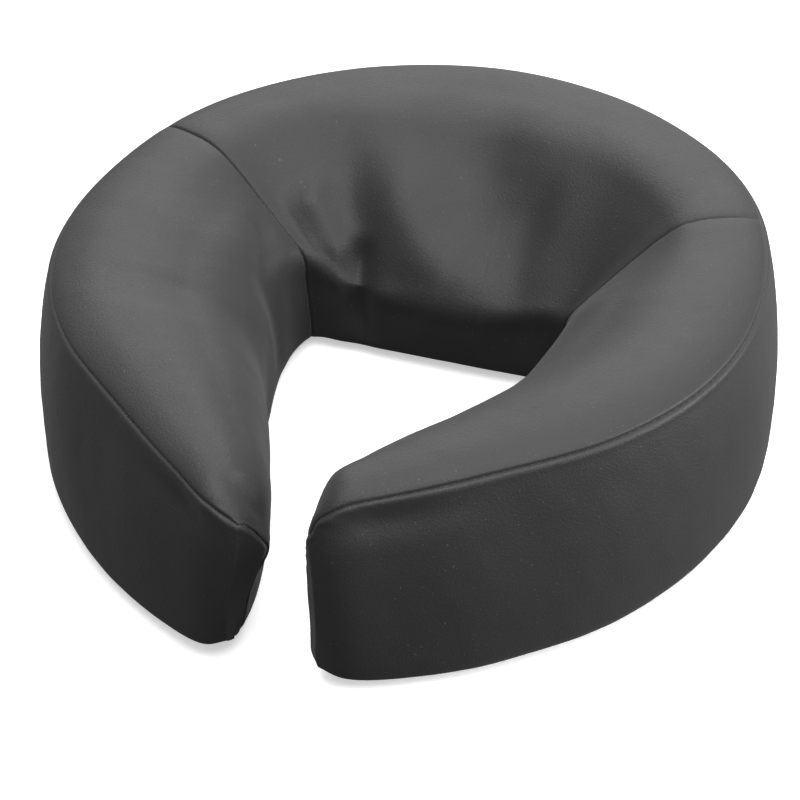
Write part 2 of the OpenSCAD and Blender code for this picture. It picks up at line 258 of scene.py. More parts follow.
def resample(columns, middle, fine):
    """Cubic points at spaced distances down each column of control points."""
    rows, cols = columns.shape[:2]
    out = []
    for i in range(cols):
        p = columns[:, i]
        t = run_of(p)
        slope = np.gradient(p, t, axis=0)
        d = spaced(t[-1], middle, fine)
        k = np.clip(np.searchsorted(t, d, side="right") - 1, 0, rows - 2)
        h = (t[k + 1] - t[k])[:, None]
        u = (d[:, None] - t[k][:, None]) / h
        out.append((2 * u**3 - 3 * u**2 + 1) * p[k] + (u**3 - 2 * u**2 + u) * h * slope[k]
                   + (3 * u**2 - 2 * u**3) * p[k + 1] + (u**3 - u**2) * h * slope[k + 1])
    return np.stack(out, 1)


FOOT_ROWS = COVER_Z + FOOT_ROUND * np.array([1, 0.6, 0.3, 0.12, 0.03, 0])


def top_controls(s):
    """Control points of the top section at stations s, from the rim to the foot of the wall."""
    w = arm_share(s)[None]
    f = mix(CROWN_TOP[:, 0:1], ARM_TOP[:, 0:1], w)
    high = mix(CROWN_TOP[:, 1:2], ARM_TOP[:, 1:2], w)
    swell = mix(CROWN_TOP[:, 2:3], ARM_TOP[:, 2:3], w)
    high = mix(high, 1 - f ** 1.3, tip_share(s)[None])
    swell = swell * (1 - 0.8 * tip_share(s)[None])
    low = wall_h(s)[None]
    z = low + (rim_z(s)[None] - low) * high + TOP_SWELL * swell
    rim = place(s, 0, rim_z(s))[None]
    top = place(np.broadcast_to(s, f.shape), f, z)
    wall_z = [mix(wall_h(s), FOOT_ROWS[0], t) for t in (0, 0.35, 0.7)]
    wall = np.stack([place(s, 1, z) for z in wall_z] + [place(s, 1, z) for z in FOOT_ROWS])
    return np.concatenate([rim, top, wall])


def band_controls(s, f, z_top):
    """Control points of the band's columns, from its top edge down to its foot."""
    shares = np.linspace(0, 1, 8)[:-1]
    z = [mix(z_top, FOOT_ROWS[0], t) for t in shares] + [np.full_like(z_top, z) for z in FOOT_ROWS]
    return np.stack([place(s, f, level) for level in z])


def fit_base(base, top, band):
    """The base with its edges moved to the feet of the walls."""
    rows, cols = base.shape[:2]
    caps = rows - 1
    base = base.copy()
    base[0] = band[-1, caps:caps + cols]
    base[-1] = top[-1]
    base[1:, 0] = band[-1, :caps][::-1]
    base[1:, -1] = band[-1, -caps:]
    return base


def cover_grids(step, top_rows, band_rows, fine):
    """The undisturbed top, band and base as grids of points. The top is one grid for the crown and
    both arms; the band runs across the left tip, round the rim and across the right tip."""
    spans = ((-LAST, -CROSS), (-CROSS, CROSS), (CROSS, LAST))
    parts = [rim_stations(a, b, step, fine) for a, b in spans]
    s = np.concatenate([parts[0], parts[1][1:], parts[2][1:]])
    top = resample(top_controls(s), top_rows, fine)
    caps = int(np.argmax(top[:, 0, 2] < wall_h(s[:1])[0] + 1))
    ends = []
    for column in (0, -1):
        edge = top[1:caps + 1, column]
        end_s = np.full(caps, s[column])
        outer = place(end_s, 0, edge[:, 2])
        inner = place(end_s, 1, edge[:, 2])
        across = np.linalg.norm(edge - outer, axis=1) / np.linalg.norm(inner - outer, axis=1)
        ends.append((end_s, np.clip(across, 0, 1), edge[:, 2]))
    left, right = ends
    band_s = np.concatenate([left[0][::-1], s, right[0]])
    band_f = np.concatenate([left[1][::-1], np.zeros(len(s)), right[1]])
    band_z = np.concatenate([left[2][::-1], rim_z(s), right[2]])
    band = resample(band_controls(band_s, band_f, band_z), band_rows, fine)
    base_f = np.concatenate([[0], right[1]])
    base_f[-1] = 1
    base = place(s[None], base_f[:, None], COVER_Z)
    band[0] = np.concatenate([top[1:caps + 1, 0][::-1], top[0], top[1:caps + 1, -1]])
    base = fit_base(base, top, band)
    cross = (len(parts[0]) - 1, len(parts[0]) + len(parts[1]) - 2)
    return {"s": s, "top": top, "band": band, "base": base, "caps": caps, "cross": cross}


def unit(v):
    """Vectors of length 1."""
    return v / np.maximum(np.linalg.norm(v, axis=-1, keepdims=True), 1e-9)


def run_down(grid):
    """Distance of each point from the first row, down its column."""
    step = np.linalg.norm(np.diff(grid, axis=0), axis=-1)
    return np.concatenate([np.zeros((1, grid.shape[1])), np.cumsum(step, axis=0)])


def run_along(grid):
    """Distance of each point from the first column, along its row."""
    return run_down(grid.swapaxes(0, 1)).swapaxes(0, 1)


def grid_normals(grid):
    """Normals that point out of the cushion, where rows run inward and columns left to right."""
    return unit(np.cross(np.gradient(grid, axis=0), np.gradient(grid, axis=1)))


# ------------------------------
# Folds of the crown's slope and the arms: plan points, half width, and height at the middle.
FOLDS = [
    ([(-72, 66), (-60, 57), (-50, 49), (-44, 42)], 10, 5.0),
    ([(-35, 28), (-36, 41), (-38, 50), (-40, 60)], 6.5, -5.0),
    ([(-44, 92), (-34, 80), (-24, 69), (-12, 58), (2, 49), (20, 47), (38, 51)], 14, 5.5),
    ([(-6, 108), (6, 92), (22, 75), (44, 62)], 17, -4.0),
    ([(-80, 42), (-72, 24), (-66, 8), (-62, -8)], 4.5, -2.5),
    ([(-92, -30), (-84, -62)], 16, -1.2),
    ([(-22, -138), (-14, -146)], 5, -1.5),
]
FOLD_TAPER = 0.3


def fold_height(xy):
    """Total height of the folds at plan points."""
    total = np.zeros(xy.shape[:-1])
    for points, width, height in FOLDS:
        line = np.array(points, float)
        lengths = np.linalg.norm(np.diff(line, axis=0), axis=1)
        starts = np.concatenate([[0], np.cumsum(lengths)])
        best = np.full(xy.shape[:-1], 1e9)
        share = np.zeros(xy.shape[:-1])
        for a, b, length, start in zip(line, line[1:], lengths, starts):
            t = np.clip(((xy - a) @ (b - a)) / length**2, 0, 1)
            away = np.linalg.norm(xy - a - t[..., None] * (b - a), axis=-1)
            near = away < best
            best = np.where(near, away, best)
            share = np.where(near, (start + t * length) / starts[-1], share)
        ends = 0.1 + 0.9 * smooth(share / FOLD_TAPER) * smooth((1 - share) / FOLD_TAPER)
        total += height * ends * bell(best, 0, width)
    return total


def waves(p, shortest, longest, count=14):
    """Smooth uneven height of about -1 to 1 at points p, from a few crossing waves."""
    total = np.zeros(p.shape[:-1])
    for _ in range(count):
        direction = unit(RNG.normal(size=3))
        length = RNG.uniform(shortest, longest)
        total += np.sin(p @ direction * (2 * np.pi / length) + RNG.uniform(0, 2 * np.pi))
    return total / math.sqrt(count)


# How far the leather stands off the drawing, and its slack and hollows, in millimetres.
PROUD = 1.0
ARM_SLACK = 3.0
TIP_HOLLOW = 2.8
CREST = 0.35


def groove(u):
    """How deep a panel dips at distance u from a sewn seam."""
    return 1.1 * fade(u, 2.6) + 0.9 * bell(u, 0, 0.6)


def carry(coarse, moved, dense):
    """Moves of a coarse grid read at the points of a dense one, by share of the way each way."""
    def shares(grid):
        down = run_down(grid)
        along = run_along(grid)
        return down / down[-1:], along[0] / along[0, -1]

    coarse_down, coarse_along = shares(coarse)
    dense_down, dense_along = shares(dense)
    columns = np.interp(dense_along, coarse_along, np.arange(coarse.shape[1]))
    rows = dense_down * (coarse.shape[0] - 1)
    r = np.clip(np.floor(rows).astype(int), 0, coarse.shape[0] - 2)
    c = np.clip(np.floor(columns).astype(int), 0, coarse.shape[1] - 2)
    u = (rows - r)[..., None]
    v = np.broadcast_to(columns - c, rows.shape)[..., None]
    c = np.broadcast_to(c, rows.shape)
    near = mix(moved[r, c], moved[r, c + 1], v)
    far = mix(moved[r + 1, c], moved[r + 1, c + 1], v)
    return mix(near, far, u)


def ripples(along, pitch, p, shortest, longest):
    """Even ripples along a seam, put out of step by slow waves."""
    return np.sin(along * 2 * np.pi / pitch + 2 * waves(p, shortest, longest))


def sewn_top(grids, puffed):
    """The top with its folds, slack, puckers and seam grooves."""
    top, s = grids["top"], grids["s"]
    normal = grid_normals(top)
    down = run_down(top)
    up = down[-1:] - down
    along = run_along(top)
    to_cross = np.minimum(*(np.abs(along - along[:, c:c + 1]) for c in grids["cross"]))
    to_end = np.minimum(along, along[:, -1:] - along)
    free = 1 - fade(np.minimum(np.minimum(down, to_end), up), 5)

    height = fold_height(top[..., :2]) * free * smooth(up / 25)
    height += (0.16 * waves(top, 30, 70) + 0.05 * waves(top, 9, 20)) * free
    share = down / down[-1:]
    slack = smooth((s - 4.5) / 1.5)[None] * smooth((share - 0.32) / 0.22)
    height -= ARM_SLACK * slack * free * smooth(up / 20)
    pucker = ripples(along, 6.5, top, 20, 40)
    height += 0.35 * bell(np.abs(s), 9.2, 0.9)[None] * pucker * fade(down, 7) * (1 - fade(down, 1.5))
    crossing = ripples(down, 8, top, 20, 50)
    height += 0.12 * crossing * fade(to_cross, 6) * (1 - fade(to_cross, 1.5))
    shift = normal * (height + PROUD * (1 - fade(up, 6)) * (1 - fade(down, 3)))[..., None]
    if puffed is not None:
        shift += puffed["top"]

    rim_out = np.concatenate([outward(RIM, s), np.zeros((len(s), 1))], -1)
    into_rim = -unit(rim_out + [0, 0, 1])
    shift += into_rim[None] * (groove(down) - PROUD * fade(down, 3))[..., None]
    clear = (1 - fade(down, 2.5)) * smooth(up / 8)
    shift -= normal * (0.8 * groove(to_cross) * clear)[..., None]
    shift -= unit(normal + [0, -1, 0]) * (groove(to_end) * clear)[..., None]
    shift -= normal * (0.6 * fade(up, 1.2))[..., None]
    return top + shift


def sewn_band(grids, new_top, puffed):
    """The band with its unevenness, its crest and hollows under the rim, and its seam grooves."""
    band, caps = grids["band"], grids["caps"]
    edge = np.concatenate([new_top[1:caps + 1, 0][::-1], new_top[0], new_top[1:caps + 1, -1]])
    edge_shift = edge - band[0]
    down = run_down(band)
    up = down[-1:] - down
    tips = np.full(caps, float(LAST))
    s = np.concatenate([tips, np.abs(grids["s"]), tips])[None]

    height = 0.3 * waves(band, 40, 90) + 0.06 * waves(band, 10, 22)
    height *= (1 - fade(down, 5)) * (1 - fade(up, 5))
    pucker = ripples(run_along(band), 7.5, band, 20, 40)
    height += 0.4 * bell(s, 9.3, 1.0) * pucker * fade(down, 8) * (1 - fade(down, 1.5))
    height -= 0.6 * fade(up, 1.2)
    height -= TIP_HOLLOW * bell(s, 8.1, 0.8) * bell(down, 9, 5.5)
    height += CREST * bell(down, 2.2, 1.4)
    height += PROUD * (1 - fade(up, 6))
    shift = -grid_normals(band) * height[..., None]
    if puffed is not None:
        shift += puffed["band"]
    shift += (groove(down) / groove(0.0))[..., None] * (edge_shift[None] - shift[:1])
    new_band = band + shift

    # The band's two inner ends follow the ends of the arms' inner walls
    for column, end in ((0, new_top[caps:, 0]), (-1, new_top[caps:, -1])):
        for axis in (0, 1):
            new_band[:, column, axis] = np.interp(-new_band[:, column, 2], -end[:, 2], end[:, axis])
    return new_band


# ------------------------------
# Meshes
def link(obj):
    bpy.context.scene.collection.objects.link(obj)
    return obj


def mesh_piece(name, points, faces, material=None):
    """A smooth-shaded mesh object from points in millimetres."""
    data = bpy.data.meshes.new(name)
    data.from_pydata((np.asarray(points) * MM).tolist(), [], faces)
    data.update()
    data.polygons.foreach_set("use_smooth", [True] * len(data.polygons))
    if material:
        data.materials.append(material)
    return link(bpy.data.objects.new(name, data))


def quads_of(index):
    return np.stack([index[:-1, :-1], index[1:, :-1], index[1:, 1:], index[:-1, 1:]], -1).reshape(-1, 4)


def grid_faces(rows, cols, flip=False):
    quads = quads_of(np.arange(rows * cols).reshape(rows, cols))
    return (quads[:, ::-1] if flip else quads).tolist()


def tube_faces(rows, cols):
    """Faces of a closed tube of rings, one ring a row, with both ends capped."""
    index = np.arange(rows * cols).reshape(rows, cols)
    closed = np.concatenate([index, index[:, :1]], 1)
    return quads_of(closed).tolist() + [index[0].tolist(), index[-1, ::-1].tolist()]


def grid_piece(name, grid, material, flip=False):
    rows, cols = grid.shape[:2]
    return mesh_piece(name, grid.reshape(-1, 3), grid_faces(rows, cols, flip), material)


def stand_in(piece, node):
    """Hides the CAD node that the piece is shown in place of."""
    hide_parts(node)
    return piece


# ------------------------------
# Materials
class Nodes:
    """Short names for building one node material."""

    def __init__(self, name):
        self.material = bpy.data.materials.new(name)
        self.material.use_nodes = True
        self.tree = self.material.node_tree
        self.shader = self.tree.nodes["Principled BSDF"]
        self.at = self.add("ShaderNodeTexCoord").outputs["Object"]

    def add(self, kind, **settings):
        node = self.tree.nodes.new(kind)
        for key, value in settings.items():
            setattr(node, key, value)
        return node

    def join(self, a, b):
        self.tree.links.new(a, b)

    def noise(self, scale, detail=4.0, rough=0.55):
        node = self.add("ShaderNodeTexNoise")
        node.inputs["Scale"].default_value = scale
        node.inputs["Detail"].default_value = detail
        node.inputs["Roughness"].default_value = rough
        self.join(self.at, node.inputs["Vector"])
        return node.outputs["Fac"]

    def cells(self, scale, feature="F1"):
        node = self.add("ShaderNodeTexVoronoi", feature=feature)
        node.inputs["Scale"].default_value = scale
        self.join(self.at, node.inputs["Vector"])
        return node.outputs["Distance"]

    def stripes(self, scale, direction="DIAGONAL"):
        node = self.add("ShaderNodeTexWave", wave_type="BANDS", bands_direction=direction)
        node.inputs["Scale"].default_value = scale
        self.join(self.at, node.inputs["Vector"])
        return node.outputs["Fac"]

    def spread(self, value, low, high, to_low, to_high):
        node = self.add("ShaderNodeMapRange")
        for key, x in (("From Min", low), ("From Max", high), ("To Min", to_low), ("To Max", to_high)):
            node.inputs[key].default_value = x
        self.join(value, node.inputs["Value"])
        return node.outputs["Result"]

    def math(self, operation, a, b):
        node = self.add("ShaderNodeMath", operation=operation)
        for socket, x in zip(node.inputs, (a, b)):
            if isinstance(x, (int, float)):
                socket.default_value = x
            else:
                self.join(x, socket)
        return node.outputs[0]

    def blend_colors(self, factor, a, b):
        node = self.add("ShaderNodeMix", data_type="RGBA")
        if isinstance(factor, (int, float)):
            node.inputs[0].default_value = factor
        else:
            self.join(factor, node.inputs[0])
        for socket, x in ((node.inputs[6], a), (node.inputs[7], b)):
            if isinstance(x, tuple):
                socket.default_value = (*x, 1)
            else:
                self.join(x, socket)
        return node.outputs[2]

    def bump(self, height, strength, distance, under=None):
        node = self.add("ShaderNodeBump")
        node.inputs["Strength"].default_value = strength
        node.inputs["Distance"].default_value = distance
        self.join(height, node.inputs["Height"])
        if under:
            self.join(under, node.inputs["Normal"])
        return node.outputs["Normal"]

    def finish(self, color, rough, normal, **values):
        self.join(color, self.shader.inputs["Base Color"])
        if isinstance(rough, (int, float)):
            self.shader.inputs["Roughness"].default_value = rough
        else:
            self.join(rough, self.shader.inputs["Roughness"])
        self.join(normal, self.shader.inputs["Normal"])
        for key, x in values.items():
            self.shader.inputs[key.replace("_", " ")].default_value = x
        return self.material


def leather_material(name, base, edge_wear_and_sheen):
    """Soft matt upholstery leather: pebbled grain, fine creases, cloudy colour, and sharp edges painted
    lighter, partly as edge wear and partly as painted sheen on the rolled seams.
    """
    m = Nodes(name)
    bend = m.noise(260, 3, 0.5)
    grain = m.cells(1250, "SMOOTH_F1")
    pores = m.noise(3200, 2, 0.6)
    creases = m.cells(420, "DISTANCE_TO_EDGE")
    lines = m.spread(creases, 0.0, 0.08, 0.0, 1.0)
    cloud = m.noise(22, 5, 0.6)
    # Sharp edges get a lighter colour: partly edge wear, partly a painted sheen in place of the highlights
    # on the rolled seams.
    pointy = m.add("ShaderNodeNewGeometry").outputs["Pointiness"]
    wear = m.spread(pointy, 0.51, 0.58, 0.0, 1.0)
    tone = m.spread(cloud, 0.3, 0.7, 0.0, 1.0)
    dull = tuple(0.86 * c for c in base)
    color = m.blend_colors(tone, dull, base)
    color = m.blend_colors(m.math("MULTIPLY", wear, 0.5), color, edge_wear_and_sheen)
    speck = m.spread(m.noise(900, 1, 0.4), 0.76, 0.78, 0.0, 0.3)
    color = m.blend_colors(speck, color, (0.16, 0.16, 0.165))
    rough = m.math("ADD", m.spread(cloud, 0.3, 0.7, 0.47, 0.54), m.math("MULTIPLY", grain, 0.12))
    first = m.bump(lines, 0.12, 0.0002)
    second = m.bump(grain, 0.34, 0.00028, first)
    third = m.bump(m.math("ADD", pores, bend), 0.16, 0.0002, second)
    return m.finish(color, rough, third, Specular_IOR_Level=0.4, Sheen_Weight=0.1, Sheen_Roughness=0.5)


# ------------------------------
# The cover blown up a little between its seams, as cloth over foam
PUFF_CLOTH = {
    "vertex_group_mass": "seams", "use_pressure": True, "uniform_pressure_force": 4.0,
    "shrink_min": -0.004, "tension_stiffness": 25, "compression_stiffness": 25,
    "bending_stiffness": 6, "mass": 0.4, "quality": 6,
}
PUFF_FRAMES = 20
PUFF_CAP = 4.0
PUFF_SHARE = 0.5
PUFF_SOFTEN = 3


def soften(moves):
    """Evens out the finest creases, as stiff leather does. Points held at a seam stay held."""
    held = np.linalg.norm(moves, axis=-1, keepdims=True) < 1e-3
    for _ in range(PUFF_SOFTEN):
        for axis in (0, 1):
            near = np.roll(moves, 1, axis) + np.roll(moves, -1, axis)
            moves = np.where(held, 0, 0.5 * moves + 0.25 * near)
    return moves


def puff(grids):
    """Moves of the coarse top and band when cloth held at its seams is put under pressure."""
    names = ("top", "band", "base")
    blocks = [grids[k] for k in names]
    points = np.concatenate([g.reshape(-1, 3) for g in blocks])
    held = [np.zeros(g.shape[:2], bool) for g in blocks]
    for block in held:
        block[0] = block[-1] = True
        block[:, 0] = block[:, -1] = True
    held[0][:, list(grids["cross"])] = True
    held[2][:] = True
    held = np.concatenate([h.ravel() for h in held])
    _, first, index = np.unique(np.round(points, 1), axis=0, return_index=True, return_inverse=True)
    index = index.ravel()
    faces = []
    start = 0
    for g, flip in zip(blocks, (False, True, True)):
        for quad in grid_faces(*g.shape[:2], flip):
            corners = [int(index[start + i]) for i in quad]
            if len(set(corners)) == 4:
                faces.append(corners)
        start += g.shape[0] * g.shape[1]
    shape = mesh_piece("cloth_shape", points[first], faces)
    pins = shape.vertex_groups.new(name="seams")
    pinned = np.zeros(len(first), bool)
    pinned[index[held]] = True
    pins.add([int(i) for i in np.flatnonzero(pinned)], 1.0, "REPLACE")
    cloth = shape.modifiers.new("cloth", "CLOTH")
    for key, value in PUFF_CLOTH.items():
        setattr(cloth.settings, key, value)
    cloth.settings.effector_weights.gravity = 0
    cloth.point_cache.frame_start = 1
    cloth.point_cache.frame_end = PUFF_FRAMES
    for number in range(1, PUFF_FRAMES + 1):
        bpy.context.scene.frame_set(number)
    graph = bpy.context.evaluated_depsgraph_get()
    after = np.empty(len(first) * 3)
    shape.evaluated_get(graph).data.vertices.foreach_get("co", after)
    moved = after.reshape(-1, 3) / MM - points[first]
    bpy.data.objects.remove(shape, do_unlink=True)
    bpy.context.scene.frame_set(1)
    far = np.linalg.norm(moved, axis=1, keepdims=True)
    moved *= PUFF_SHARE * np.minimum(1, PUFF_CAP / np.maximum(far, 1e-6))
    moved = moved[index]
    out = {}
    start = 0
    for name, g in zip(names, blocks):
        count = g.shape[0] * g.shape[1]
        out[name] = soften(moved[start:start + count].reshape(g.shape))
        start += count
    return out


# ------------------------------
# The sewn cover
LEATHER_T = 1.2


def build_cover():
    """The undisturbed grids, and the finished top, band and base."""
    grids = cover_grids(2.2, 52, 26, True)
    puffed = None
    coarse = cover_grids(5.5, 30, 15, False)
    moved = puff(coarse)
    puffed = {k: carry(coarse[k], moved[k], grids[k]) for k in ("top", "band")}
    new_top = sewn_top(grids, puffed)
    new_band = sewn_band(grids, new_top, puffed)
    new_base = fit_base(grids["base"], new_top, new_band)
    return grids, settle(new_top), settle(new_band), settle(new_base)


grids, top_grid, band_grid, base_grid = build_cover()
# The second colour is the lighter edge colour: partly edge wear, partly painted sheen.
leather = leather_material("charcoal_leather", (0.018, 0.018, 0.0185), (0.05, 0.05, 0.052))

first_cross, second_cross = grids["cross"]
crown = grid_piece("crown_cover", top_grid[:, first_cross:second_cross + 1], leather)
left_arm = grid_piece("left_arm_cover", top_grid[:, :first_cross + 1], leather)
right_arm = grid_piece("right_arm_cover", top_grid[:, second_cross:], leather)
band = grid_piece("band_cover", band_grid, leather, flip=True)
for piece, node in ((crown, "crown_panel"), (left_arm, "left_arm_panel"),
                    (right_arm, "right_arm_panel"), (band, "outer_band")):
    stand_in(piece, node)
    thick = piece.modifiers.new("thickness", "SOLIDIFY")
    thick.thickness = LEATHER_T * MM
    thick.offset = -1
    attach(piece, "cushion")


# ------------------------------
# Small soft and metal parts: foam, base, loop strips, stitches and zip
ZIP_Y = (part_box("zip_coil_front")[0].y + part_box("zip_coil_rear")[1].y) / 2 / MM
ZIP_HALF = (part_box("zip_tape_front")[1].x - 0.005) / MM
SLOT_HALF_W = 4.0
FOAM_CLEARANCE = 2.5
FOAM_VOXEL = 5.0


def foam_material():
    m = Nodes("open_cell_foam")
    pores = m.cells(900, "F1")
    tone = m.noise(30, 4, 0.6)
    color = m.blend_colors(tone, (0.42, 0.41, 0.38), (0.5, 0.49, 0.45))
    return m.finish(color, 0.9, m.bump(pores, 0.5, 0.0005), Sheen_Weight=0.1)


def nearest(points, places):
    """The row number of the place nearest to each point."""
    tree = KDTree(len(places))
    for i, p in enumerate(places):
        tree.insert(p, i)
    tree.balance()
    return np.array([tree.find(p)[1] for p in points])


def tuck_inside(points, clearance):
    """Foam points that come too near the cover, moved inside it. All in millimetres."""
    shell = np.concatenate([g.reshape(-1, 3) for g in (top_grid, band_grid)])
    out = np.concatenate([grid_normals(top_grid).reshape(-1, 3), -grid_normals(band_grid).reshape(-1, 3)])
    for _ in range(4):
        near = nearest(points, shell)
        height = ((points - shell[near]) * out[near]).sum(1)
        extra = np.maximum(0, height + clearance)
        points = points - out[near] * extra[:, None]
    base = base_grid.reshape(-1, 3)
    flat = np.array([1, 1, 0])
    under = base[nearest(points * flat, base * flat), 2]
    points[:, 2] = np.maximum(points[:, 2], under + LEATHER_T + clearance)
    return points


def foam_core(node, material, inward):
    """The foam solid remade as one soft form, a little inside its cover."""
    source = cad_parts[node]
    core = link(bpy.data.objects.new(node + "_core", source.data.copy()))
    core.matrix_world = source.matrix_world.copy()
    remesh = core.modifiers.new("remesh", "REMESH")
    remesh.mode = "VOXEL"
    remesh.voxel_size = FOAM_VOXEL * MM
    graph = bpy.context.evaluated_depsgraph_get()
    data = bpy.data.meshes.new_from_object(core.evaluated_get(graph))
    core.modifiers.clear()
    core.data = data
    data.materials.clear()
    data.materials.append(material)
    count = len(data.vertices)
    points, normals = np.empty(count * 3), np.empty(count * 3)
    data.vertices.foreach_get("co", points)
    data.vertices.foreach_get("normal", normals)
    points = (points - normals * inward * MM).reshape(-1, 3) / MM
    data.vertices.foreach_set("co", (tuck_inside(points, FOAM_CLEARANCE) * MM).ravel())
    data.polygons.foreach_set("use_smooth", [True] * len(data.polygons))
    data.update()
    return stand_in(core, node)


def base_panel(name, node, rear):
    """Half of the base, cut along the zip, with the slot of the zip left open."""
    shape = grid_piece(name, base_grid, leather, flip=True)
    bm = bmesh.new()
    bm.from_mesh(shape.data)
    cuts = [(1, ZIP_Y - SLOT_HALF_W), (1, ZIP_Y), (1, ZIP_Y + SLOT_HALF_W), (0, -ZIP_HALF), (0, ZIP_HALF)]
    for axis, value in cuts:
        at, normal = Vector((0, 0, 0)), Vector((0, 0, 0))
        at[axis] = value * MM
        normal[axis] = 1
        parts = bm.verts[:] + bm.edges[:] + bm.faces[:]
        bmesh.ops.bisect_plane(bm, geom=parts, plane_co=at, plane_no=normal, dist=1e-6)
    spare = []
    for face in bm.faces:
        x, y, _ = face.calc_center_median() / MM
        in_slot = abs(x) < ZIP_HALF and abs(y - ZIP_Y) < SLOT_HALF_W
        if in_slot or (y > ZIP_Y) != rear:
            spare.append(face)
    bmesh.ops.delete(bm, geom=spare, context="FACES")
    raised = bmesh.ops.extrude_face_region(bm, geom=bm.faces[:], use_keep_orig=True)["geom"]
    for vert in raised:
        if isinstance(vert, bmesh.types.BMVert):
            vert.co.z += LEATHER_T * MM
    bmesh.ops.recalc_face_normals(bm, faces=bm.faces)
    bm.to_mesh(shape.data)
    bm.free()
    return stand_in(shape, node)


def columns_at(at, run, values):
    """Each of the three columns of values, known at run, read at the places at."""
    return np.stack([np.interp(at, run, values[:, k]) for k in range(3)], -1)


def along_line(points, pitch):
    """Evenly spaced points and directions along a polyline."""
    run = run_of(points)
    count = max(1, int(run[-1] / pitch))
    at = (np.arange(count) + 0.5) * run[-1] / count
    middle = columns_at(at, run, points)
    ahead = columns_at(at + 0.4, run, points)
    back = columns_at(at - 0.4, run, points)
    return middle, unit(ahead - back), at / run[-1]


STITCH_SIDES = 6
STITCH_SINK = 0.25
STITCH_SHAPE = [(-0.5, 0.25, -0.9), (-0.4, 0.85, -0.1), (-0.15, 1.0, 0.3),
                (0.15, 1.0, 0.3), (0.4, 0.85, -0.1), (0.5, 0.25, -0.9)]


def stitch_mesh(lines, pitch, length, radius):
    """Points and faces of arched stitches along lines of (points, lift directions)."""
    points, faces = [], []
    turn = np.arange(STITCH_SIDES) * 2 * np.pi / STITCH_SIDES
    for line, lift in lines:
        line = np.asarray(line, float) - STITCH_SINK * np.asarray(lift, float)
        middle, ahead, share = along_line(line, pitch)
        lifts = np.broadcast_to(np.asarray(lift, float), line.shape)
        index = share * (len(line) - 1)
        up = columns_at(index, np.arange(len(line)), lifts)
        up = unit(up - ahead * (up * ahead).sum(-1, keepdims=True))
        side = np.cross(ahead, up)
        skew = RNG.normal(0, 0.06, (len(middle), 1))
        ahead = unit(ahead + side * (0.12 + skew))
        for a, t, n, b in zip(middle, ahead, up, side):
            start = len(points)
            for step, width, high in STITCH_SHAPE:
                centre = a + t * step * length + n * (high * radius)
                ring = centre + radius * width * (np.cos(turn)[:, None] * n + np.sin(turn)[:, None] * b)
                points.extend(ring)
            for ring in range(len(STITCH_SHAPE) - 1):
                for k in range(STITCH_SIDES):
                    i = start + ring * STITCH_SIDES + k
                    j = start + ring * STITCH_SIDES + (k + 1) % STITCH_SIDES
                    faces.append((i, j, j + STITCH_SIDES, i + STITCH_SIDES))
            faces.append(tuple(range(start + STITCH_SIDES - 1, start - 1, -1)))
            last = start + (len(STITCH_SHAPE) - 1) * STITCH_SIDES
            faces.append(tuple(range(last, last + STITCH_SIDES)))
    return points, faces


def stitches(name, node, lines, material, pitch=3.8, length=2.9, radius=0.34):
    piece = mesh_piece(name, *stitch_mesh(lines, pitch, length, radius), material)
    return stand_in(piece, node)


def thread_material():
    m = Nodes("sewing_thread")
    ply = m.stripes(900)
    tone = m.noise(60, 3, 0.6)
    color = m.blend_colors(tone, (0.005, 0.005, 0.006), (0.01, 0.01, 0.011))
    normal = m.bump(ply, 0.5, 0.0001)
    return m.finish(color, 0.6, normal, Sheen_Weight=0.2)


def loop_material():
    m = Nodes("brushed_loop_pile")
    loops = m.cells(1500, "F1")
    tufts = m.noise(300, 6, 0.7)
    tone = m.noise(50, 4, 0.6)
    color = m.blend_colors(tone, (0.02, 0.02, 0.021), (0.035, 0.035, 0.037))
    color = m.blend_colors(m.math("MULTIPLY", tufts, 0.4), color, (0.06, 0.06, 0.063))
    normal = m.bump(tufts, 0.6, 0.0006, m.bump(loops, 0.7, 0.0004))
    return m.finish(color, 0.95, normal, Sheen_Weight=0.5, Sheen_Roughness=0.6)


STRIP_W = 25.0
STRIP_T = 3.0
STRIP_MARGIN = 3.0
STRIP_SEW_Z = 0.55
ARM_STRIP_L = 110.0
ARM_STRIP_TURN = 24


def strip_frame(centre, angle):
    """A function that moves strip coordinates (along, across, height) into place."""
    c, s = math.cos(angle), math.sin(angle)
    turn = np.array([[c, s, 0], [-s, c, 0], [0, 0, 1]])
    return lambda p: np.asarray(p, float) @ turn + [centre[0], centre[1], 0]


